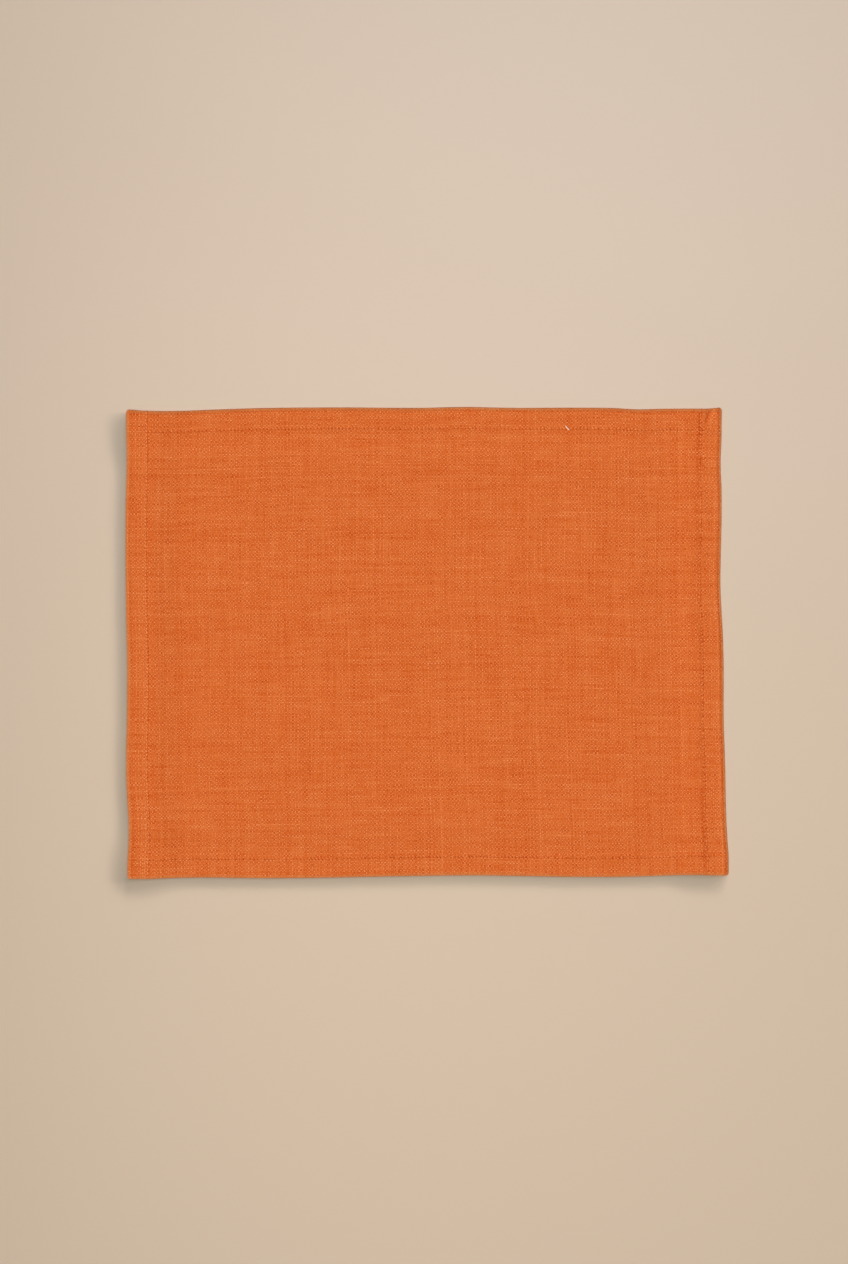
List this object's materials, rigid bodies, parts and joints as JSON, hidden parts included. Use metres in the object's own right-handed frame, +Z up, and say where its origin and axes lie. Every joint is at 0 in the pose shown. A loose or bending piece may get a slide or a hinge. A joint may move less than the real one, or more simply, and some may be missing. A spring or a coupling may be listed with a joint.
{
  "type": "fabric placemat",
  "caption": "Rectangular fabric placemat, one panel of slub cloth with a double-turned sewn hem, lying flat.",
  "frame": {"origin": "middle of the mat's bounding box, on the surface that the hems rest on", "axes": "+X along the long side, to the picture's right; +Y across, to the picture's top; +Z up, out of the right side of the cloth"},
  "size_m": [0.455, 0.3562, 0.0031],
  "materials": {
    "cloth": "matt plain weave with slubs, orange"
  },
  "bodies": {
    "root": {"placemat": "cloth"}
  },
  "joints": []
}
